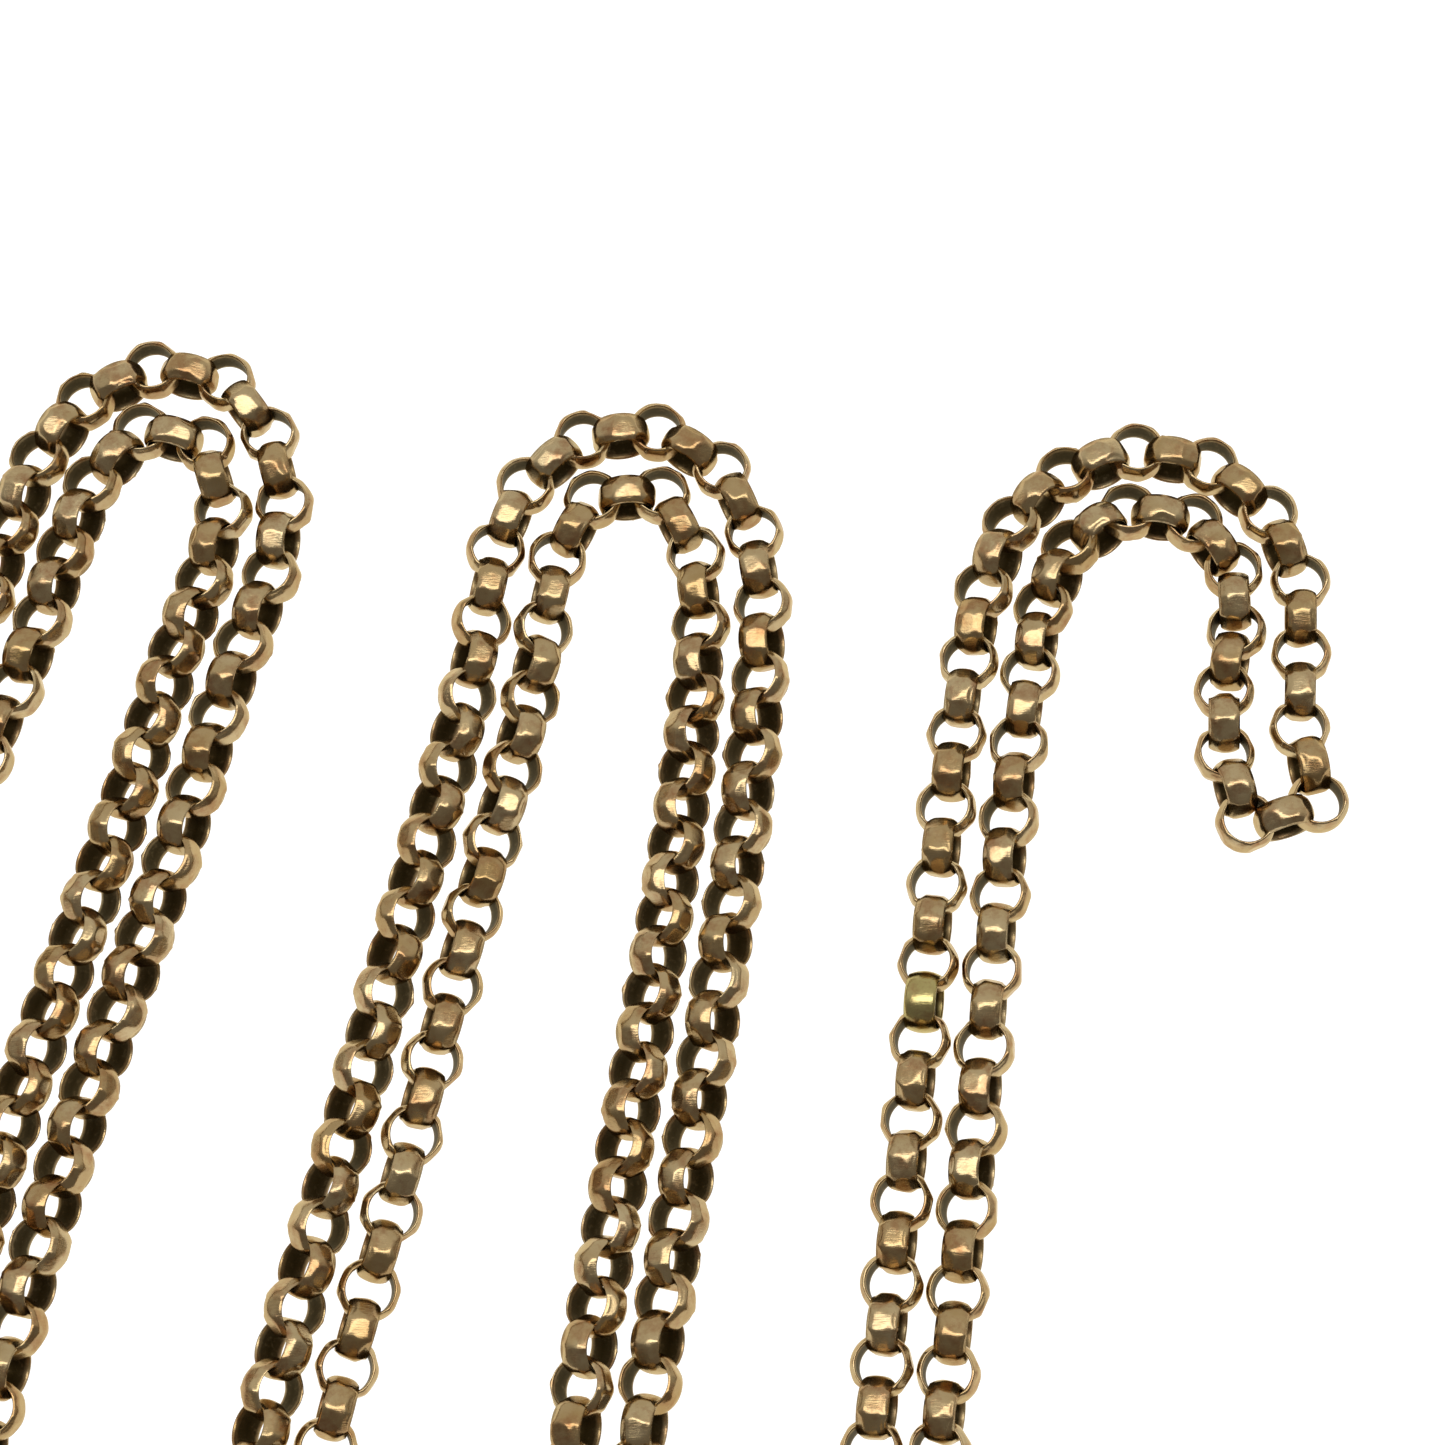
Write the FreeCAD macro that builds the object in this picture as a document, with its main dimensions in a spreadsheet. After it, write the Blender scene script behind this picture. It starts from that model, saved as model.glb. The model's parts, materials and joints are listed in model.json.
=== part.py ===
import FreeCAD, Part
import Sketcher
import math
import os
from bisect import bisect_left

from FreeCAD import Placement, Rotation, Vector

# A long gentleman's pocket watch chain of round belcher links, doubled and laid down in a serpentine.
# Both strands start at the fold, where the chain turns back on itself, and end in the ring of a swivel
# clasp. Frame: +Z up, millimetres. The chain rests on Z = 0, with the origin under the middle of its box.

UP = Vector(0, 0, 1)
RIGHT, LEFT = 1, -1  # the strand on that hand when walking from the fold to the clasp
STRANDS = {RIGHT: "right", LEFT: "left"}

DIMENSIONS = {
    # one link: a round band, flat inside and domed like a ball outside, with flats cut round the dome
    "link_size": 4.0,
    "link_bore": 3.12,
    "link_width": 1.94,
    "bore_width": 1.5,
    "facet_count": 8,
    "facet_reach": 1.9,
    # how the links are strung
    "link_pitch": 2.58,
    "fold_sag": 0.37,
    # the ring that both strands and the clasp hang on
    "ring_size": 8.0,
    "ring_wire": 1.0,
    "ring_height": 1.75,
    "ring_slack": 0.2,
    # the swivel eye: a loop with a stem that turns in the cap of the clasp
    "eye_size": 4.2,
    "eye_wire": 0.8,
    "stem_size": 1.2,
    "head_size": 2.2,
    "head_depth": 0.6,
    "head_room": 0.1,
    "eye_slack": 0.1,
    "eye_gap": 0.15,
    # the clasp: a cap and a long loop, open on one side where the gate closes it
    "clasp_height": 2.1,
    "cap_size": 4.0,
    "cap_length": 3.4,
    "cap_floor": 1.5,
    "loop_start": 2.4,
    "loop_size": 8.4,
    "loop_wall": 1.7,
    "loop_straight": 4.2,
    "loop_depth": 2.8,
    # the gate, its rivet and its leaf spring, placed from the mouth of the cap
    "gate_start": 5.6,
    "gate_end": 11.9,
    "gate_start_gap": 0.35,
    "gate_end_gap": 0.2,
    "gate_inset": 0.1,
    "gate_depth": 2.0,
    "gate_wall": 1.5,
    "tongue_depth": 1.0,
    "tongue_size": 1.8,
    "pivot_along": 4.7,
    "pivot_aside": 2.75,
    "pivot_size": 0.8,
    "thumb_along": 7.4,
    "thumb_length": 1.4,
    "thumb_rise": 0.7,
    "thumb_depth": 1.6,
    "leaf_depth": 0.2,
    "leaf_aside": 1.6,
    "play": 0.05,
}

# The middle line between the two strands, from the fold to the clasp, as points on the table.
ROUTE = [
    (35.8, -3.7), (35.4, 0.0), (35.9, 4.0), (36.6, 8.6), (34.3, 14.4), (29.7, 17.1), (24.6, 16.0),
    (20.8, 12.3),
    (19.0, 7.0), (17.3, -2.0), (15.6, -14.0), (14.2, -25.2), (12.9, -35.0), (11.6, -44.5),
    (10.2, -52.5), (5.8, -60.0), (-1.0, -61.4), (-6.2, -56.4), (-7.3, -49.0), (-6.2, -40.9),
    (-4.2, -29.0), (-2.0, -15.5), (-0.2, -3.0), (0.6, 6.0), (0.2, 12.4), (-2.0, 17.0), (-5.8, 18.8),
    (-10.2, 17.2), (-12.9, 12.6), (-14.2, 5.1), (-16.4, -5.3), (-19.4, -17.5), (-22.6, -31.0),
    (-25.6, -43.0), (-28.0, -52.5), (-33.0, -60.4), (-40.2, -62.0), (-46.0, -57.2), (-47.6, -49.5),
    (-45.9, -39.0), (-42.9, -26.5), (-39.4, -14.5), (-36.3, -3.5), (-33.6, 6.5), (-31.6, 13.4),
    (-32.2, 18.7), (-36.1, 23.2), (-41.2, 22.0), (-44.9, 16.4), (-47.0, 8.6), (-49.6, 0.5),
    (-52.6, -8.0), (-55.0, -17.0), (-56.0, -26.0),
]

# Where the strands have turned over on the table: distance along the route, lean to the left in degrees.
LEAN = {
    RIGHT: [(0, 0), (8, 12), (17, 0), (25, 0), (34, -26), (37, -26), (46, -8), (52, -12), (104, -12),
            (114, 0), (128, 0), (144, 34), (182, 34), (197, 0), (212, 0), (228, 42), (276, 42), (292, 0),
            (316, 0), (330, 30), (350, 30), (362, 15), (374, 15), (384, 0), (394, 0), (406, -24),
            (419, 0), (450, 0)],
    LEFT: [(0, 0), (9, 18), (18, 0), (25, 0), (34, -30), (37, -30), (46, -8), (55, -22), (66, -8),
           (76, -24), (87, -8), (98, -20), (109, 0), (126, 0), (144, 42), (180, 42), (197, 0), (212, 0),
           (222, 28), (232, 28), (242, 18), (276, 10), (292, 0), (316, 0), (332, 38), (368, 38), (384, 0),
           (394, 0), (406, -24), (419, 0), (450, 0)],
}

# How far apart the strands lie: distance along the route and spacing from middle to middle.
SPACING = [(0, 4.96), (3, 5.2), (12, 4.14), (425, 4.14), (443, 5.6)]

# The stretches between the places where the chain folds: link pairs on the right and left strand.
STRETCHES = [(5, 5), (5, 4), (4, 4), (4, 4), (4, 5), (3, 5), (15, 14), (18, 19), (3, 4), (15, 14), (7, 6),
             (4, 4)]
LINKS_PER_RUN = 10  # at most, in one named run of links
STEP = 0.1  # how finely the route is measured
SPIN = 137.5  # each link has turned this many degrees further in its neighbours than the one before it


def make_sheet(document):
    sheet = document.addObject("Spreadsheet::Sheet", "dims")
    for row, (alias, value) in enumerate(DIMENSIONS.items(), start=1):
        sheet.set(f"A{row}", alias)
        sheet.set(f"B{row}", str(value))
        sheet.setAlias(f"B{row}", alias)
    document.recompute()
    return sheet


def bind(item, expressions):
    for path, expression in expressions.items():
        item.setExpression(path, expression)
    return item


def between(table, distance):
    """The value of a table of (distance, value) pairs at a distance along the route."""
    for (start, low), (end, high) in zip(table, table[1:]):
        if distance <= end:
            return low + (high - low) * (distance - start) / (end - start)
    return table[-1][1]


# ---- the lay of the chain ----


class Route:
    """The middle line, measured in small steps, with the two strands beside it."""

    def __init__(self, points):
        curve = Part.BSplineCurve()
        curve.interpolate([Vector(x, y, 0) for x, y in points])
        steps = int(curve.length() / STEP)
        self.distances = [i * STEP for i in range(steps + 1)]
        self.middle, self.heading = [], []
        for distance in self.distances:
            u = curve.parameterAtDistance(distance, curve.FirstParameter)
            self.middle.append(curve.value(u))
            self.heading.append(curve.tangent(u)[0])
        self.strand, self.walked = {}, {}
        for side in STRANDS:
            line = [self.beside(i, side) for i in range(steps + 1)]
            walked = [0.0]
            for a, b in zip(line, line[1:]):
                walked.append(walked[-1] + (b - a).Length)
            self.strand[side], self.walked[side] = line, walked

    def across(self, i):
        """The level direction to the right of the route."""
        return self.heading[i].cross(UP)

    def beside(self, i, side):
        return self.middle[i] + self.across(i) * (side * between(SPACING, self.distances[i]) / 2)

    def at_walk(self, side, walk):
        """The step at which one strand has run this long."""
        return min(bisect_left(self.walked[side], walk), len(self.distances) - 1)


def fold_places(route, pitch):
    """The steps along the route at which the chain folds, and where it ends: each stretch ends where
    the first of its two strands has used up its links and is taut."""
    places = [0]
    for pairs in STRETCHES:
        start = places[-1]
        ends = [
            route.at_walk(side, route.walked[side][start] + 2 * pitch * count)
            for side, count in zip(STRANDS, pairs)
        ]
        places.append(min(ends))
    return places


def flat_places(route, places, side):
    """The steps of one strand's flat-lying links, stretch by stretch: the strand bends only at these,
    and every second link stands upright half way between two of them."""
    walked = route.walked[side]
    stretches = []
    for (start, end), pairs in zip(zip(places, places[1:]), STRETCHES):
        count = pairs[list(STRANDS).index(side)]
        share = (walked[end] - walked[start]) / count
        stretches.append([route.at_walk(side, walked[start] + share * (j + 0.5)) for j in range(count)])
    return stretches


def fold_corner(route, side, sheet):
    """The flat link at one side of the fold: the strands turn back over the two of them."""
    step = sheet.link_pitch
    return route.beside(0, side) - route.heading[0] * step


def lean_axis(along, degrees):
    """The axis of a flat link that has leant over to the left by so many degrees."""
    return Rotation(along, -degrees).multVec(UP)


def link_placement(centre, axis, number):
    """A link is made about +Z: this stands its axis along the given one, and spins it in its place."""
    return Placement(centre, Rotation(UP, axis) * Rotation(UP, SPIN * number))


def level(point, height):
    return Vector(point.x, point.y, height)


def lay_strand(route, places, side, sheet):
    """Placements of one strand's links, stretch by stretch. A stretch starts with the flat link after
    its fold place and ends with the upright link of the next, the last one with the upright that holds
    the clasp's ring."""
    height = sheet.link_size / 2
    stretches = flat_places(route, places, side)
    flats = [(i, level(route.strand[side][i], height)) for stretch in stretches for i in stretch]
    last = clasp_frame(route, places, sheet)["uprights"][side]
    laid, number = [], 0
    for stretch in stretches:
        links = []
        for _ in stretch:
            i, here = flats[number]
            before = flats[number - 1][1] if number else level(fold_corner(route, side, sheet), height)
            after = flats[number + 1][1] if number + 1 < len(flats) else here * 2 - before
            lean = between(LEAN[side], route.distances[i])
            links.append(link_placement(here, lean_axis(after - before, lean), 2 * number))
            if number + 1 < len(flats):
                along = after - here
                halfway = (i + flats[number + 1][0]) // 2
                lean = between(LEAN[side], route.distances[halfway])
                axis = along.cross(lean_axis(along, lean))
                links.append(link_placement((here + after) / 2, axis, 2 * number + 1))
            else:
                links.append(link_placement(*last, 2 * number + 1))
            number += 1
        laid.append(links)
    return laid


def lay_fold(route, places, sheet):
    """Placements of the links at the fold: two flat ones at its corners, the upright one between them
    and the two uprights that start the strands."""
    height = sheet.link_size / 2
    corners = {side: level(fold_corner(route, side, sheet), height) for side in STRANDS}
    turn = (corners[RIGHT] + corners[LEFT]) / 2 - route.heading[0] * sheet.fold_sag
    links = [link_placement(turn, (corners[RIGHT] - corners[LEFT]).cross(UP), 0)]
    for side in STRANDS:
        first = level(route.strand[side][flat_places(route, places, side)[0][0]], height)
        along = first - corners[side]
        links.append(link_placement(corners[side], UP, side))
        links.append(link_placement((corners[side] + first) / 2, along.cross(UP), 2 * side))
    return links


def clasp_frame(route, places, sheet):
    """Where the strands end: both are taut to the ring, their last uprights point at its middle, and
    the eye and the clasp follow, pointing straight down the table."""
    hang = (sheet.ring_size + sheet.link_bore) / 2 - sheet.ring_wire - sheet.ring_slack
    reach = hang + sheet.link_pitch
    ends = {side: flat_places(route, places, side)[-1][-1] for side in STRANDS}
    flats = {side: level(route.strand[side][end], 0) for side, end in ends.items()}
    apart = flats[RIGHT] - flats[LEFT]
    onward = UP.cross(apart).normalize()
    middle = (flats[RIGHT] + flats[LEFT]) / 2 + onward * math.sqrt(reach**2 - (apart.Length / 2) ** 2)
    uprights = {}
    for side, flat in flats.items():
        back = (flat - middle).normalize()
        uprights[side] = (level(middle + back * hang, sheet.link_size / 2), back.cross(UP))
    return {"ring": level(middle, sheet.ring_height), "heading": Vector(0, -1, 0), "uprights": uprights}


# ---- one link and its copies ----


def make_link(document):
    """One link, about +Z: the section is revolved into a band, and flats are cut round its dome."""
    body = document.addObject("PartDesign::Body", "link")
    section = body.newObject("Sketcher::SketchObject", "link_section")
    attach(section, body, "XZ_Plane")
    dims = document.dims
    half_bore, half_width = dims.bore_width / 2, dims.link_width / 2
    bore, dome = dims.link_bore / 2, dims.link_size / 2
    edge = math.sqrt(dome**2 - half_width**2)
    inner_low, inner_high = Vector(bore, -half_bore, 0), Vector(bore, half_bore, 0)
    edge_low, edge_high = Vector(edge, -half_width, 0), Vector(edge, half_width, 0)
    section.addGeometry(
        [
            Part.LineSegment(inner_low, inner_high),
            Part.LineSegment(inner_high, edge_high),
            Part.Arc(edge_low, Vector(dome, 0, 0), edge_high),
            Part.LineSegment(edge_low, inner_low),
        ]
    )
    fix_point(section, 0, 1, "inner_low", "dims.link_bore / 2", "-dims.bore_width / 2")
    fix_point(section, 0, 2, "inner_high", "dims.link_bore / 2", "dims.bore_width / 2")
    for first, first_end, second, second_end in ((0, 2, 1, 1), (1, 2, 2, 2), (3, 1, 2, 1), (3, 2, 0, 1)):
        section.addConstraint(Sketcher.Constraint("Coincident", first, first_end, second, second_end))
    section.addConstraint(Sketcher.Constraint("Coincident", 2, 3, -1, 1))
    name_constraint(section, Sketcher.Constraint("Radius", 2, dome), "dome", "dims.link_size / 2")
    for geometry, end, name, side in ((1, 2, "edge_high", 1), (3, 1, "edge_low", -1)):
        height = Sketcher.Constraint("DistanceY", -1, 1, geometry, end, side * half_width)
        name_constraint(section, height, name, f"{side} * dims.link_width / 2")

    band = body.newObject("PartDesign::Revolution", "link_band")
    band.Profile = section
    band.ReferenceAxis = (section, ["V_Axis"])
    band.Angle = 360
    document.recompute()

    outline = body.newObject("Sketcher::SketchObject", "facet_outline")
    attach(outline, body, "XY_Plane")
    count = int(dims.facet_count)
    corner = dims.facet_reach / math.cos(math.pi / count)
    corners = [Vector(corner, 0, 0)]
    turn = Rotation(UP, 360 / count)
    for _ in range(count - 1):
        corners.append(turn.multVec(corners[-1]))
    for start, end in zip(corners, corners[1:] + corners[:1]):
        outline.addGeometry(Part.LineSegment(start, end))
    outline.addGeometry(Part.Circle(Vector(), UP, dims.link_size))
    for i in range(count):
        outline.addConstraint(Sketcher.Constraint("Coincident", i, 2, (i + 1) % count, 1))
        if i:
            outline.addConstraint(Sketcher.Constraint("Equal", 0, i))
    guide = outline.addGeometry(Part.Circle(Vector(), UP, corner), True)
    for i in range(count):
        outline.addConstraint(Sketcher.Constraint("PointOnObject", i, 1, guide))
    outline.addConstraint(Sketcher.Constraint("PointOnObject", 0, 1, -1))
    for circle in (count, guide):
        outline.addConstraint(Sketcher.Constraint("Coincident", circle, 3, -1, 1))
    outside = Sketcher.Constraint("Radius", count, dims.link_size)
    name_constraint(outline, outside, "outside", "dims.link_size")
    reach = Sketcher.Constraint("Radius", guide, corner)
    name_constraint(outline, reach, "corners", "dims.facet_reach / cos(180 / dims.facet_count)")
    facets = body.newObject("PartDesign::Pocket", "link_facets")
    facets.Profile = outline
    facets.SideType = "Symmetric"
    facets.Type = "Length"
    bind(facets, {"Length": "dims.link_size"})
    document.recompute()
    return body


def attach(sketch, body, role):
    plane = next(feature for feature in body.Origin.OriginFeatures if feature.Role == role)
    sketch.AttachmentSupport = [(plane, "")]
    sketch.MapMode = "FlatFace"


def name_constraint(sketch, constraint, name, expression):
    index = sketch.addConstraint(constraint)
    sketch.renameConstraint(index, name)
    sketch.setExpression(f"Constraints.{name}", expression)


def fix_point(sketch, geometry, end, name, x_expression, y_expression):
    """Hold one end of a sketch line at a place worked out from the sheet."""
    line = sketch.Geometry[geometry]
    point = line.StartPoint if end == 1 else line.EndPoint
    x = Sketcher.Constraint("DistanceX", -1, 1, geometry, end, point.x)
    y = Sketcher.Constraint("DistanceY", -1, 1, geometry, end, point.y)
    name_constraint(sketch, x, f"{name}_x", x_expression)
    name_constraint(sketch, y, f"{name}_y", y_expression)


def make_run(document, link, name, placements):
    """A named run of links: copies of the one link, each a solid of its own."""
    copies = document.addObject("App::Link", f"{name}_links")
    copies.LinkedObject = link
    copies.ShowElement = False
    copies.ElementCount = len(placements)
    copies.PlacementList = placements
    run = document.addObject("Part::Compound", name)
    run.Links = [copies]
    return run


def split_run(name, placements):
    """Cut a stretch of links into runs of nearly equal length, lettered a, b, c."""
    count = math.ceil(len(placements) / LINKS_PER_RUN)
    cuts = [round(len(placements) * i / count) for i in range(count + 1)]
    return {f"{name}{chr(ord('a') + i)}": placements[cuts[i]:cuts[i + 1]] for i in range(count)}


# ---- the clasp, made along +X from the mouth of its cap, lying in the XY plane ----


def solid(document, kind, name, expressions, place=None):
    """A primitive whose sizes, and place, are bound to the sheet."""
    item = document.addObject(f"Part::{kind}", name)
    bind(item, expressions)
    for axis, expression in (place or {}).items():
        item.setExpression(f"Placement.Base.{axis}", expression)
    return item


def rod(document, name, size, length, place, direction=UP):
    """A round rod of this size along a direction, from its place."""
    item = solid(document, "Cylinder", name, {"Radius": f"({size}) / 2", "Height": length}, place)
    item.Placement = Placement(item.Placement.Base, Rotation(UP, direction))
    return item


def block(document, name, lows, highs):
    """A box between two corners, given as sheet expressions for x, y and z."""
    sizes = {
        side: f"({high}) - ({low})" for side, low, high in zip(("Length", "Width", "Height"), lows, highs)
    }
    return solid(document, "Box", name, sizes, dict(zip("xyz", lows)))


def stadium(document, name, inset, depth):
    """The long round-ended plate of the clasp's loop, its edge moved in by an inset."""
    size = f"dims.loop_size - 2 * ({inset})"
    near = "dims.loop_start + dims.loop_size / 2"
    far = f"{near} + dims.loop_straight"
    below, above = f"-({depth}) / 2", f"({depth}) / 2"
    pieces = [
        rod(document, f"{name}_near", size, depth, {"x": near, "z": below}),
        rod(document, f"{name}_far", size, depth, {"x": far, "z": below}),
        block(document, f"{name}_middle", (near, f"-({size}) / 2", below), (far, f"({size}) / 2", above)),
    ]
    return joined(document, name, pieces)


def joined(document, name, pieces):
    item = document.addObject("Part::MultiFuse", name)
    item.Shapes = pieces
    return item


def cut(document, name, base, tools):
    item = document.addObject("Part::Cut", name)
    item.Base = base
    item.Tool = joined(document, f"{name}_tools", tools) if len(tools) > 1 else tools[0]
    return item


ALONG = Vector(1, 0, 0)
PIVOT = {"x": "dims.pivot_along", "y": "-dims.pivot_aside"}


def make_ring(document):
    sizes = {"Radius1": "(dims.ring_size - dims.ring_wire) / 2", "Radius2": "dims.ring_wire / 2"}
    return solid(document, "Torus", "clasp_ring", sizes)


def make_eye(document):
    """The swivel eye: an upright loop, its stem and the head that keeps the stem in the cap."""
    sizes = {"Radius1": "(dims.eye_size - dims.eye_wire) / 2", "Radius2": "dims.eye_wire / 2"}
    loop = solid(document, "Torus", "eye_loop", sizes, {"x": "-dims.eye_size / 2 - dims.eye_gap"})
    loop.Placement = Placement(loop.Placement.Base, Rotation(UP, Vector(0, 1, 0)))
    root = "-dims.eye_wire / 2 - dims.eye_gap"
    seat = "dims.cap_floor + dims.play"
    stem = rod(document, "eye_stem", "dims.stem_size", f"{seat} - ({root})", {"x": root}, ALONG)
    head = rod(document, "eye_head", "dims.head_size", "dims.head_depth", {"x": seat}, ALONG)
    return joined(document, "swivel_eye", [loop, stem, head])


def make_clasp(document):
    """The clasp's body: cap and loop in one, bored for the stem, open at the gate and forked for it."""
    cap = rod(document, "cap", "dims.cap_size", "dims.cap_length", {}, ALONG)
    plate = stadium(document, "loop_outside", "0", "dims.loop_depth")
    whole = joined(document, "clasp_blank", [cap, plate])
    slot = "dims.tongue_depth / 2 + dims.play"
    tools = [
        stadium(document, "loop_inside", "dims.loop_wall", "dims.loop_size"),
        rod(document, "stem_bore", "dims.stem_size + 2 * dims.play", "dims.cap_length", {}, ALONG),
        rod(document, "head_chamber", "dims.head_size + 2 * dims.head_room", "dims.loop_straight",
            {"x": "dims.cap_floor"}, ALONG),
        block(document, "gate_gap", ("dims.gate_start", "-dims.loop_size", "-dims.loop_depth"),
              ("dims.gate_end", "-dims.loop_wall", "dims.loop_depth")),
        block(document, "fork", ("dims.pivot_along - dims.tongue_size / 2 - dims.play", "-dims.loop_size",
                                 f"-({slot})"),
              ("dims.gate_start + dims.play", "-dims.cap_floor", slot)),
        rod(document, "rivet_hole", "dims.pivot_size", "2 * dims.loop_depth",
            {**PIVOT, "z": "-dims.loop_depth"}),
    ]
    return cut(document, "clasp_body", whole, tools)


def make_gate(document):
    """The gate: a bar that closes the loop, with a tongue on the rivet and a thumb piece outside."""
    start, end = "dims.gate_start + dims.gate_start_gap", "dims.gate_end - dims.gate_end_gap"
    outside = "-dims.loop_size / 2 + dims.gate_inset"
    inside = f"{outside} + dims.gate_wall"
    half, thin = "dims.gate_depth / 2", "dims.tongue_depth / 2"
    pieces = [
        block(document, "gate_bar", (start, outside, f"-{half}"), (end, inside, half)),
        rod(document, "gate_tongue", "dims.tongue_size", "dims.tongue_depth", {**PIVOT, "z": f"-{thin}"}),
        block(document, "gate_neck", ("dims.pivot_along", f"{inside} - dims.tongue_depth", f"-{thin}"),
              (f"{start} + dims.play", inside, thin)),
        block(document, "gate_thumb",
              ("dims.thumb_along", f"{outside} - dims.thumb_rise", "-dims.thumb_depth / 2"),
              ("dims.thumb_along + dims.thumb_length", f"{outside} + dims.play", "dims.thumb_depth / 2")),
    ]
    hole = rod(document, "gate_hole", "dims.pivot_size + 2 * dims.play", "dims.loop_depth",
               {**PIVOT, "z": "-dims.loop_depth / 2"})
    return cut(document, "clasp_gate", joined(document, "gate_blank", pieces), [hole])


def alone(document, name, item):
    """One primitive as a piece of its own, so that it can be placed apart from its sizes."""
    piece = document.addObject("Part::Compound", name)
    piece.Links = [item]
    return piece


def make_rivet(document):
    place = {**PIVOT, "z": "-dims.loop_depth / 2"}
    rivet = rod(document, "rivet", "dims.pivot_size", "dims.loop_depth", place)
    return alone(document, "gate_rivet", rivet)


def make_leaf(document):
    """The leaf spring between the cheeks of the fork, behind the gate's tongue."""
    slot = "dims.tongue_depth / 2 + dims.play"
    lows = ("dims.pivot_along - dims.tongue_size / 2", "-dims.leaf_aside - dims.leaf_depth", f"-({slot})")
    highs = ("dims.gate_start - dims.play", "-dims.leaf_aside", slot)
    return alone(document, "gate_spring", block(document, "leaf", lows, highs))


# ---- the whole chain ----


def clasp_placement(frame, sheet):
    """The mouth of the clasp's cap: past the ring by the eye, which hangs on it with a little slack."""
    eye = sheet.ring_size / 2 - sheet.ring_wire + sheet.eye_size / 2 - sheet.eye_wire - sheet.eye_slack
    mouth = eye + sheet.eye_size / 2 + sheet.eye_gap
    place = level(frame["ring"] + frame["heading"] * mouth, sheet.clasp_height)
    return Placement(place, Rotation(ALONG, frame["heading"]))


def lay_chain(sheet):
    """Every run's name with the placements of its links, and the frame of the clasp."""
    route = Route(ROUTE)
    places = fold_places(route, sheet.link_pitch)
    runs = {"fold_links": lay_fold(route, places, sheet)}
    for side, hand in STRANDS.items():
        for number, links in enumerate(lay_strand(route, places, side, sheet), start=1):
            runs.update(split_run(f"{hand}_{number:02d}", links))
    return route, places, runs, clasp_frame(route, places, sheet)


def check(document, parts):
    for item in document.Objects:
        assert not {"Invalid", "Error"} & set(item.State), f"{item.Name} failed"
    for item in parts:
        assert not item.Shape.isNull() and item.Shape.isValid(), f"{item.Label} has no sound shape"


def build():
    document = FreeCAD.newDocument("watch_chain")
    sheet = make_sheet(document)
    link = make_link(document)
    _, _, runs, frame = lay_chain(sheet)
    parts = [make_run(document, link, name, placements) for name, placements in runs.items()]
    ring = make_ring(document)
    clasp = [make(document) for make in (make_eye, make_clasp, make_gate, make_rivet, make_leaf)]
    document.recompute()
    ring.Placement = Placement(frame["ring"], Rotation())
    for item in clasp:
        item.Placement = clasp_placement(frame, sheet) * item.Placement
    parts += [ring, *clasp]
    box = FreeCAD.BoundBox()
    for item in parts:
        box.add(item.Shape.optimalBoundingBox(False))
    to_origin = Vector(box.Center.x, box.Center.y, box.ZMin) * -1
    for item in parts:
        item.Placement = Placement(to_origin, Rotation()) * item.Placement
    document.recompute()
    check(document, parts)
    return document, parts, to_origin


def write(parts):
    os.makedirs("parts", exist_ok=True)
    for item in parts:
        item.Shape.exportStep(f"parts/{item.Label}.step")


if __name__ == "__main__":
    document, parts, to_origin = build()
    write(parts)
    print(f"{len(parts)} nodes, moved by {to_origin}")
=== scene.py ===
import json
import math
import random

import bpy
import numpy as np
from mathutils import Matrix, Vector


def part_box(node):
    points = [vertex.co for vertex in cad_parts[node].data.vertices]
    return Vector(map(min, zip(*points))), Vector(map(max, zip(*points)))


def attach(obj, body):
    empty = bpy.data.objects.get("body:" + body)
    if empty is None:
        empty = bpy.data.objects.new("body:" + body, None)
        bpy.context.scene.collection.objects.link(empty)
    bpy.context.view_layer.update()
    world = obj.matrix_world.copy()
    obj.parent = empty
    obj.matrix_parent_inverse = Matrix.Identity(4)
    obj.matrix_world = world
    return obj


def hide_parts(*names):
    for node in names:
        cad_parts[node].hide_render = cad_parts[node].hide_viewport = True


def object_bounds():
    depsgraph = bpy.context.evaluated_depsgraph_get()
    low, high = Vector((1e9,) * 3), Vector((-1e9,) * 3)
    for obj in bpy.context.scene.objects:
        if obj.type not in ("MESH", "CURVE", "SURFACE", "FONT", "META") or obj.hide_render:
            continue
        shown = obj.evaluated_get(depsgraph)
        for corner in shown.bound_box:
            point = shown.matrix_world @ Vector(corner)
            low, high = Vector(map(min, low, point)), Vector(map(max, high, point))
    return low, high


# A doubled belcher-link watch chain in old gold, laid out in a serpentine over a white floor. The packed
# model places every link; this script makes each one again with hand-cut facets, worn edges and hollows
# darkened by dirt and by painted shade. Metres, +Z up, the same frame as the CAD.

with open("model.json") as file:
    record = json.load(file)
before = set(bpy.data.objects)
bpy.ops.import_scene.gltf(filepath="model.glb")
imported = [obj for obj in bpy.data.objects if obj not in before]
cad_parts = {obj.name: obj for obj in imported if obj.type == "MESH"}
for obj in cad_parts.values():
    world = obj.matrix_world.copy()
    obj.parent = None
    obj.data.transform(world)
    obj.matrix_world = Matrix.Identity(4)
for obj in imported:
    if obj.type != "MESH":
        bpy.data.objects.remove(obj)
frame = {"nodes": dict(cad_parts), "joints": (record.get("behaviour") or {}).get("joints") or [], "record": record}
cad_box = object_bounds()
joint_at = {joint["name"]: Vector(joint["pos_m"]) for joint in frame["joints"]}
MM = 0.001
CLASP_NODES = ("clasp_ring", "swivel_eye", "clasp_body", "clasp_gate", "gate_rivet", "gate_spring")

# ---- one link's proportions, in millimetres, about its own axis ----

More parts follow.
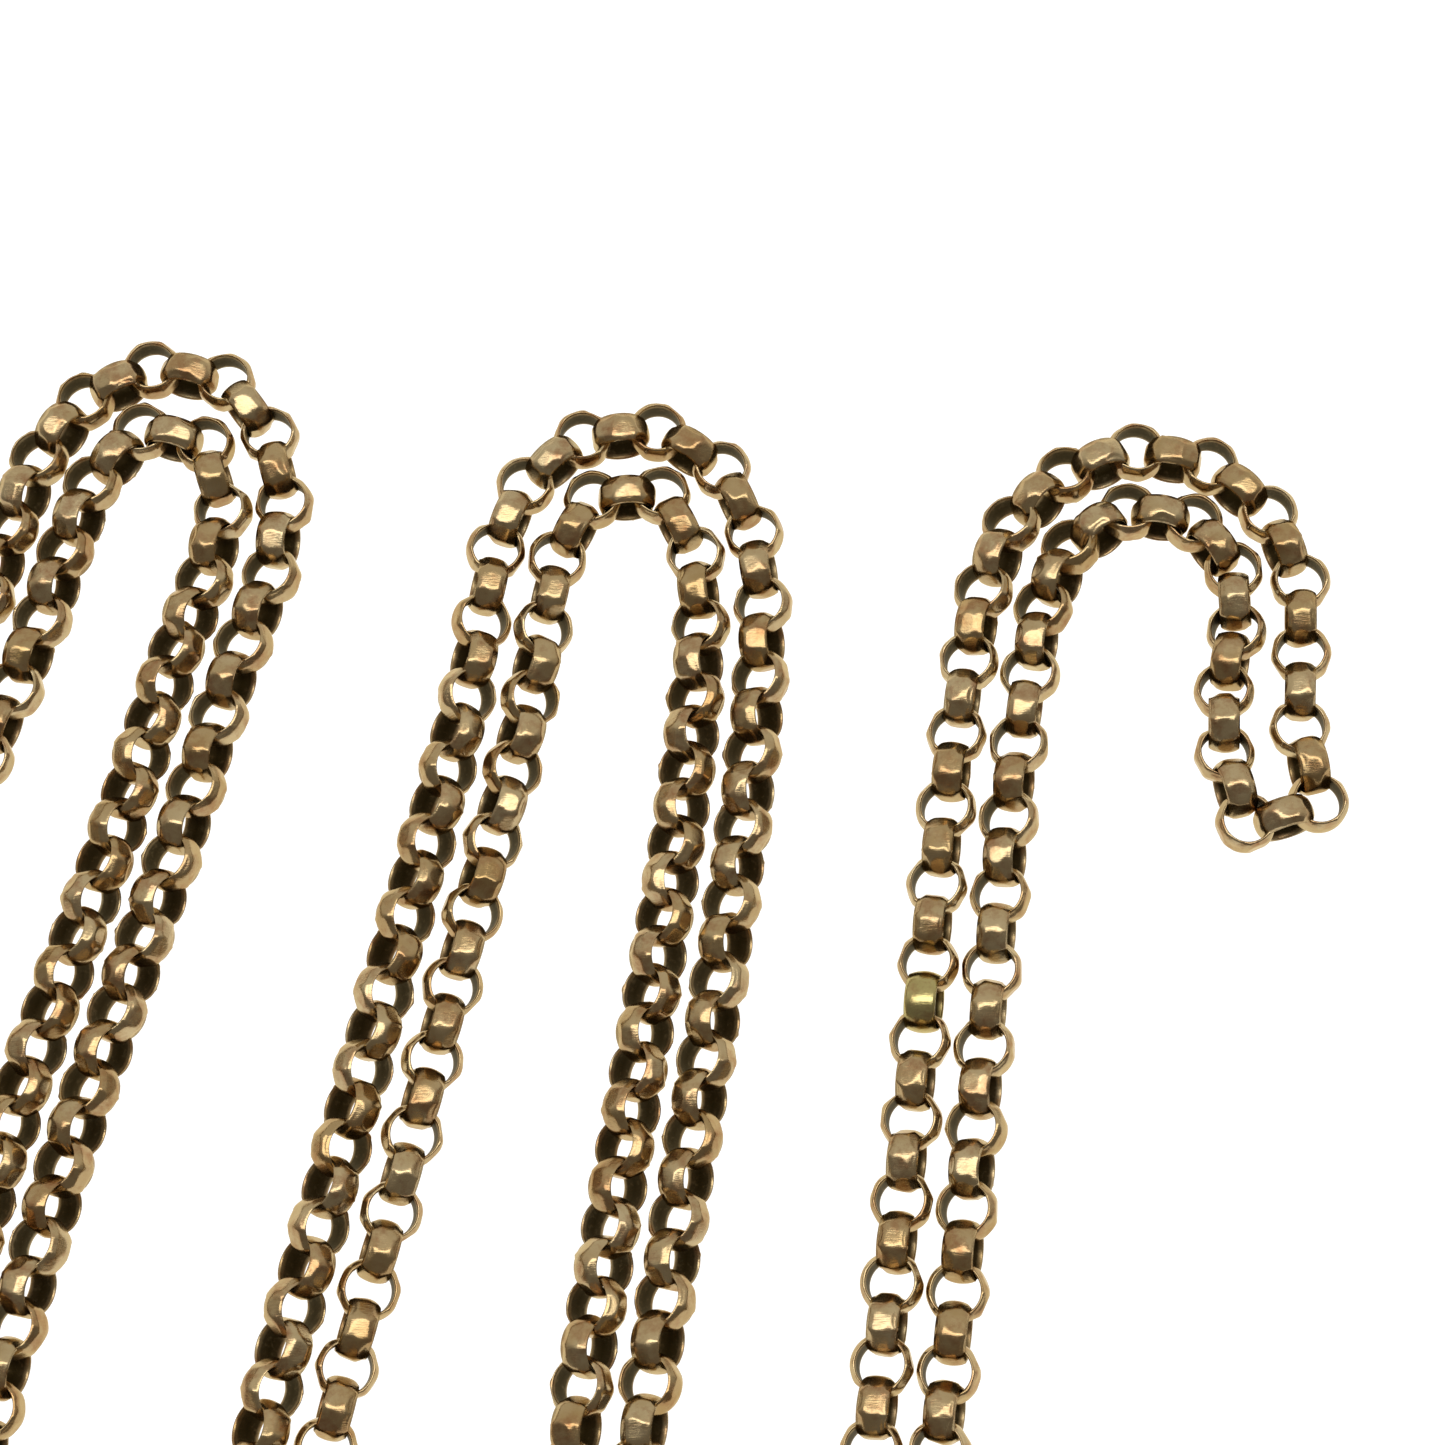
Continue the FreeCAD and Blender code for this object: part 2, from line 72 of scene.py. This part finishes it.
SIZE = (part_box("fold_links")[1].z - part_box("fold_links")[0].z) / MM
OUTER = SIZE / 2
BORE = 0.76 * OUTER
HALF_WIDTH = 0.505 * OUTER
EDGE = 0.88 * OUTER  # where the dome ends at the rims
CORE = 0.79 * OUTER  # the circle inside the band that the dome is measured from
FACETS = 8
FACET_REACH = 0.948 * OUTER  # how far the flats along the middle of the dome are from the link's centre
SIDE_TILT = math.radians(38)
SIDE_REACH = 0.917 * OUTER  # the same for the bevels beside them
AROUND = 120  # points round the link
ACROSS = 17  # points across the dome
# the rims and the inside wall, from the upper edge round to the lower one: radius, height and share of dirt and
# painted shade
INSIDE = [
    (0.5 * (EDGE + BORE), 1.0 * HALF_WIDTH, 0.05), (BORE + 0.05, 0.95 * HALF_WIDTH, 0.25),
    (BORE + 0.01, 0.85 * HALF_WIDTH, 0.6), (BORE, 0.6 * HALF_WIDTH, 0.95), (BORE, 0.0, 1.0),
]
INSIDE += [(radius, -height, dirt_and_shade) for radius, height, dirt_and_shade in INSIDE[-2::-1]]


def dome_circle():
    """Radius and centre of the arc through both edges and the top of the dome."""
    rise = OUTER - EDGE
    radius = (HALF_WIDTH**2 + rise**2) / (2 * rise)
    return radius, OUTER - radius


def soft_min(values, sharpness=60.0):
    """The lowest of several distances, with the ridge between two of them rounded by wear."""
    low = values.min(axis=0)
    return low - np.log(np.exp(-sharpness * (values - low)).sum(axis=0)) / sharpness


def facet_planes(rng):
    """Normals and reaches of the flats that a file has cut round one link: a row along the middle of the
    dome and a row of bevels along each side, none quite true."""
    planes = []
    spin = rng.uniform(0, 2 * math.pi)
    for k in range(FACETS):
        turn = spin + 2 * math.pi * k / FACETS + rng.gauss(0, math.radians(3))
        planes.append((turn, rng.gauss(0, math.radians(8)), FACET_REACH * (1 + rng.gauss(0, 0.01))))
        for side in (-1, 1):
            offset = turn + rng.gauss(0, math.radians(6))
            tilt = side * SIDE_TILT * (1 + rng.gauss(0, 0.08))
            planes.append((offset, tilt, SIDE_REACH * (1 + rng.gauss(0, 0.01))))
    turn, tilt, reach = np.array(planes).T
    normals = np.stack([np.cos(tilt) * np.cos(turn), np.cos(tilt) * np.sin(turn), np.sin(tilt)], axis=1)
    return normals, reach


def link_grid(rng, smooth):
    """Points of one link about +Z as a grid of sections, and how deep in a hollow each point is."""
    turn = np.linspace(0, 2 * math.pi, AROUND, endpoint=False)
    radius, centre = dome_circle()
    half_angle = math.atan2(HALF_WIDTH, EDGE - CORE)
    lean = np.linspace(-half_angle, half_angle, ACROSS)
    # distance from the core circle to the dome, along each direction of the section
    gap = CORE - centre
    to_dome = -gap * np.cos(lean) + np.sqrt(radius**2 - (gap * np.sin(lean)) ** 2)
    radial = np.stack([np.cos(turn), np.sin(turn), np.zeros(AROUND)], axis=1)
    core = radial * CORE
    direction = radial[:, None, :] * np.cos(lean)[None, :, None]
    direction = direction + np.array([0, 0, 1.0]) * np.sin(lean)[None, :, None]
    reaches = [np.broadcast_to(to_dome, (AROUND, ACROSS))]
    if not smooth:
        for normal, reach in zip(*facet_planes(rng)):
            facing = np.maximum(direction @ normal, 0.05)
            reaches.append(np.clip((reach - core @ normal)[:, None] / facing, 0.02, 5.0))
    distance = soft_min(np.array(reaches))
    dome = core[:, None, :] + direction * distance[:, :, None]
    walls = np.stack([radial * r + np.array([0, 0, z]) for r, z, _ in INSIDE], axis=1)
    grid = np.concatenate([dome, walls], axis=1)
    depth = np.zeros(grid.shape[:2])
    # the rims and inside wall take their share of dirt and painted shade from the table
    depth[:, ACROSS:] = [dirt_and_shade for _, _, dirt_and_shade in INSIDE]
    return grid, depth


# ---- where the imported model's links are ----


def islands(node):
    """The separate solids of a CAD node: for each, its triangles as an array of corner points."""
    mesh = node.data
    mesh.calc_loop_triangles()
    points = np.zeros(len(mesh.vertices) * 3, np.float32)
    mesh.vertices.foreach_get("co", points)
    corners = np.zeros(len(mesh.loop_triangles) * 3, np.int32)
    mesh.loop_triangles.foreach_get("vertices", corners)
    points = points.reshape(-1, 3).astype(float)
    corners = corners.reshape(-1, 3)
    welded, index = np.unique(np.round(points * 1e7).astype(np.int64), axis=0, return_inverse=True)
    triangles = index.reshape(-1)[corners]
    label = np.arange(len(welded))
    while True:
        lowest = label[triangles].min(axis=1)
        spread = label.copy()
        for corner in range(3):
            np.minimum.at(spread, triangles[:, corner], lowest)
        spread = spread[spread]
        if (spread == label).all():
            break
        label = spread
    owner = label[triangles[:, 0]]
    return [points[corners[owner == name]] for name in np.unique(owner)]


def link_pose(triangles):
    """Centre and axes of one CAD link, the last along its bore, worked out from its surface."""
    a, b, c = triangles[:, 0], triangles[:, 1], triangles[:, 2]
    normal = np.cross(b - a, c - a) / 2
    area = np.linalg.norm(normal, axis=1)
    middle = (a + b + c) / 3
    centre = (middle * area[:, None]).sum(axis=0) / area.sum()
    offset = middle - centre
    spread = (offset * area[:, None]).T @ offset
    axis = np.linalg.eigh(spread)[1][:, 0]
    if axis[2] < 0:
        axis = -axis
    across = np.cross(axis, [0.0, 0.0, 1.0] if abs(axis[2]) < 0.9 else [0.0, 1.0, 0.0])
    across /= np.linalg.norm(across)
    return centre, np.stack([across, np.cross(axis, across), axis], axis=1)


# ---- materials ----


def node_tree(name):
    material = bpy.data.materials.new(name)
    material.use_nodes = True
    tree = material.node_tree
    return material, tree, tree.nodes["Principled BSDF"]


def add(tree, kind, settings=None, **inputs):
    node = tree.nodes.new(kind)
    for key, value in (settings or {}).items():
        setattr(node, key, value)
    for key, value in inputs.items():
        socket = node.inputs[int(key[1:])] if key[0] == "i" and key[1:].isdigit() else node.inputs[key]
        if hasattr(value, "is_output"):
            tree.links.new(value, socket)
        else:
            socket.default_value = value
    return node


def noise(tree, place, scale, detail, roughness=0.5):
    node = add(tree, "ShaderNodeTexNoise", Vector=place, Scale=scale, Detail=detail, Roughness=roughness)
    return node.outputs["Fac"]


def blend(tree, share, first, second):
    """The first colour with a share of the second laid over it."""
    node = add(tree, "ShaderNodeMix", {"data_type": "RGBA"}, Factor=share, A=first, B=second)
    return node.outputs["Result"]


def scaled(tree, value, factor, offset, clamp=True):
    """value times factor, plus offset."""
    settings = {"operation": "MULTIPLY_ADD", "use_clamp": clamp}
    return add(tree, "ShaderNodeMath", settings, i0=value, i1=factor, i2=offset).outputs[0]


def stretched(tree, value, before, after):
    """A value that runs over the range before, made to run over the range after."""
    node = add(tree, "ShaderNodeMapRange", Value=value)
    for name, limit in zip(("From Min", "From Max", "To Min", "To Max"), before + after):
        node.inputs[name].default_value = limit
    return node.outputs[0]


# tarnish, its colour pushed redder as a painted reflection of the dim near side of the room
TARNISH_AND_REFLECTION = (0.27, 0.115, 0.045, 1)
# dark dirt in the hollows, made darker still as painted shade inside the links
DIRT_AND_SHADE = (0.028, 0.018, 0.005, 1)


def gold(name, base, bright, rough):
    """Old gold: rubbed bright here and there, browner in patches of tarnish tinted redder as a painted reflection,
    and darker in the hollows with dirt and painted shade.
    """
    material, tree, shader = node_tree(name)
    place = add(tree, "ShaderNodeTexCoord").outputs["Object"]
    depth = add(tree, "ShaderNodeAttribute", {"attribute_name": "depth"}).outputs["Fac"]
    tone = add(tree, "ShaderNodeAttribute", {"attribute_name": "tone"}).outputs["Fac"]
    clouds = noise(tree, place, 420.0, 4.0, 0.6)
    patches = noise(tree, place, 700.0, 5.0, 0.7)
    specks = noise(tree, place, 2600.0, 3.0, 0.65)
    along = add(tree, "ShaderNodeMapping", Vector=place, Scale=(1.0, 6.0, 1.0), Rotation=(0.3, 0.2, 0.7))
    scratches = noise(tree, along.outputs[0], 1800.0, 2.0)

    rubbed = scaled(tree, tone, 0.6, scaled(tree, clouds, 1.6, -0.6, clamp=False))
    # patches of tarnish, tinted redder as a painted reflection
    tarnish_and_reflection = stretched(tree, patches, (0.46, 0.72), (0.0, 0.85))
    soiled = scaled(tree, specks, 0.6, -0.25, clamp=False)
    # dirt and painted shade together: strongest deep in the bore, broken up by specks of dirt
    dirt_and_shade_share = scaled(tree, scaled(tree, depth, 1.0, soiled), depth, 0.0)
    colour = blend(tree, rubbed, base, bright)
    colour = blend(tree, tarnish_and_reflection, colour, TARNISH_AND_REFLECTION)
    colour = blend(tree, dirt_and_shade_share, colour, DIRT_AND_SHADE)
    tree.links.new(colour, shader.inputs["Base Color"])

    smooth = stretched(tree, clouds, (0.0, 1.0), (rough - 0.05, rough + 0.08))
    # the same dirt and painted shade make the hollows rougher and less metallic
    tree.links.new(scaled(tree, dirt_and_shade_share, 0.3, smooth), shader.inputs["Roughness"])
    tree.links.new(scaled(tree, dirt_and_shade_share, -0.3, 1.0), shader.inputs["Metallic"])
    height = scaled(tree, scratches, 1.0, specks, clamp=False)
    bump = add(tree, "ShaderNodeBump", Height=height, Strength=0.22, Distance=0.04 * MM)
    tree.links.new(bump.outputs[0], shader.inputs["Normal"])
    shader.inputs["Specular IOR Level"].default_value = 0.05
    shader.inputs["Specular Tint"].default_value = (1.0, 0.9, 0.68, 1)
    return material


LINK_GOLD = gold("link_gold", (0.36, 0.235, 0.098, 1), (0.50, 0.39, 0.222, 1), 0.22)
BRIGHT_GOLD = gold("bright_link_gold", (0.36, 0.29, 0.11, 1), (0.52, 0.44, 0.19, 1), 0.2)
CLASP_GOLD = gold("clasp_gold", (0.30, 0.20, 0.088, 1), (0.44, 0.325, 0.17, 1), 0.26)


def steel():
    material, tree, shader = node_tree("spring_steel")
    place = add(tree, "ShaderNodeTexCoord").outputs["Object"]
    grain = noise(tree, place, 1500.0, 3.0)
    colour = blend(tree, grain, (0.30, 0.30, 0.30, 1), (0.50, 0.50, 0.51, 1))
    tree.links.new(colour, shader.inputs["Base Color"])
    shader.inputs["Metallic"].default_value = 1.0
    shader.inputs["Roughness"].default_value = 0.4
    return material


# ---- the links ----


def quads(count):
    """Corner indices of the closed grid of one link, for a link whose points start at count."""
    sections = ACROSS + len(INSIDE)
    i, j = np.meshgrid(np.arange(AROUND), np.arange(sections), indexing="ij")
    i2, j2 = (i + 1) % AROUND, (j + 1) % sections
    faces = np.stack([i * sections + j, i2 * sections + j, i2 * sections + j2, i * sections + j2], axis=-1)
    return faces.reshape(-1, 4) + count


# the one link that has been replaced in a yellower, smoother gold, beside the fourth fold of the strands
fourth_fold = joint_at["strand_fold_04_right"]
BRIGHT_LINK = (fourth_fold.x - 2.05 * MM, fourth_fold.y)


def is_bright(centre, axes):
    """Whether an upright link stands at the replaced link's place."""
    upright = abs(axes[2, 2]) < 0.5
    return upright and math.dist(centre[:2], BRIGHT_LINK) < 1.2 * MM


def make_run(node_name, body, rng):
    """The links of one CAD node, made again as one piece that rides on the node's body."""
    points, depths, tones, faces, bright = [], [], [], [], []
    for triangles in islands(frame["nodes"][node_name]):
        centre, axes = link_pose(triangles)
        special = is_bright(centre, axes)
        grid, depth = link_grid(rng, special)
        faces.append(quads(sum(len(p) for p in points)))
        points.append(grid.reshape(-1, 3) * MM @ axes.T + centre)
        depths.append(depth.ravel())
        tones.append(np.full(depth.size, rng.random()))
        bright.append(np.full(len(faces[-1]), special))
    mesh = bpy.data.meshes.new(f"{node_name}_made")
    faces = np.concatenate(faces)
    mesh.from_pydata(np.concatenate(points).tolist(), [], faces.tolist())
    for name, values in (("depth", depths), ("tone", tones)):
        attribute = mesh.attributes.new(name, "FLOAT", "POINT")
        attribute.data.foreach_set("value", np.concatenate(values).astype(np.float32))
    mesh.materials.append(LINK_GOLD)
    mesh.materials.append(BRIGHT_GOLD)
    mesh.polygons.foreach_set("material_index", np.concatenate(bright).astype(np.int32))
    mesh.polygons.foreach_set("use_smooth", np.ones(len(faces), bool))
    mesh.update()
    piece = bpy.data.objects.new(f"{node_name}_worn", mesh)
    bpy.context.scene.collection.objects.link(piece)
    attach(piece, body)
    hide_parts(node_name)
    return piece


rng = random.Random(1881)
for body, members in frame["record"]["behaviour"]["bodies"].items():
    for name in members:
        if name not in CLASP_NODES:
            make_run(name, body, rng)

# ---- the clasp keeps its CAD shape, with its edges worn round ----

for name in CLASP_NODES:
    node = frame["nodes"][name]
    node.data.materials.clear()
    node.data.materials.append(steel() if name == "gate_spring" else CLASP_GOLD)
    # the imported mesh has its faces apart, so they are joined before their edges are worn
    joined = node.modifiers.new("joined_faces", "WELD")
    joined.merge_threshold = 0.001 * MM
    worn = node.modifiers.new("worn_edges", "BEVEL")
    worn.width = 0.35 * MM if name == "clasp_body" else 0.05 * MM
    worn.segments = 4
    worn.angle_limit = math.radians(35)

# ---- the floor, the lights and the camera ----

low, high = cad_box
# the view takes in the upper right of the whole chain, and is aimed from the place where its strands start
AIM = joint_at["strand_fold_01_right"] + Vector((-35.8 * MM, 3.7 * MM, 0))
ELEVATION = math.radians(72)
DISTANCE = 0.214


def floor():
    mesh = bpy.data.meshes.new("floor")
    half = 20.0
    corners = [(-half, -half, 0), (half, -half, 0), (half, half, 0), (-half, half, 0)]
    mesh.from_pydata(corners, [], [(0, 1, 2, 3)])
    piece = bpy.data.objects.new("floor", mesh)
    # a chain's length lower than the chain, which swings down past its own plane when it folds
    piece.location.z = low.z - (high.y - low.y)
    bpy.context.scene.collection.objects.link(piece)
    material, tree, shader = node_tree("floor_white")
    shader.inputs["Base Color"].default_value = (0.4, 0.4, 0.4, 1)
    shader.inputs["Roughness"].default_value = 0.7
    shader.inputs["Emission Color"].default_value = (1, 1, 1, 1)
    shader.inputs["Emission Strength"].default_value = 0.84
    mesh.materials.append(material)


def lamp(name, place, size, radiance, colour=(1, 1, 1)):
    """A soft box that looks this bright, facing the middle of the view."""
    light = bpy.data.lights.new(name, "AREA")
    light.shape = "RECTANGLE"
    light.size, light.size_y = size
    light.energy = radiance * math.pi * size[0] * size[1]
    light.color = colour
    item = bpy.data.objects.new(name, light)
    item.location = AIM + Vector(place)
    item.rotation_euler = (-Vector(place)).to_track_quat("-Z", "Y").to_euler()
    bpy.context.scene.collection.objects.link(item)


floor()
lamp("overhead", (0.0, -0.02, 0.60), (1.2, 0.24), 3.3)

# the room: pale at the far side, dim on the near side, as where someone stands
world = bpy.data.worlds.new("studio")
bpy.context.scene.world = world
world.use_nodes = True
room = world.node_tree
way = add(room, "ShaderNodeTexCoord").outputs["Generated"]
parts = add(room, "ShaderNodeSeparateXYZ", Vector=way)
fade = add(room, "ShaderNodeMapRange", {"interpolation_type": "SMOOTHSTEP"}, Value=parts.outputs["Y"])
fade.inputs["From Min"].default_value = -0.35
fade.inputs["From Max"].default_value = 0.45
walls = blend(room, fade.outputs[0], (0.22, 0.21, 0.20, 1), (0.80, 0.80, 0.78, 1))
background = room.nodes["Background"]
room.links.new(walls, background.inputs["Color"])
background.inputs["Strength"].default_value = 1.0
bpy.context.scene.view_settings.view_transform = "Standard"

camera = bpy.data.cameras.new("camera")
camera.sensor_width = 36
camera.lens = 36 * 3250 / 1445
camera.clip_start = 0.01
item = bpy.data.objects.new("camera", camera)
item.location = AIM + Vector((0, -math.cos(ELEVATION), math.sin(ELEVATION))) * DISTANCE
item.rotation_euler = (AIM - item.location).to_track_quat("-Z", "Y").to_euler()
bpy.context.scene.collection.objects.link(item)
bpy.context.scene.camera = item
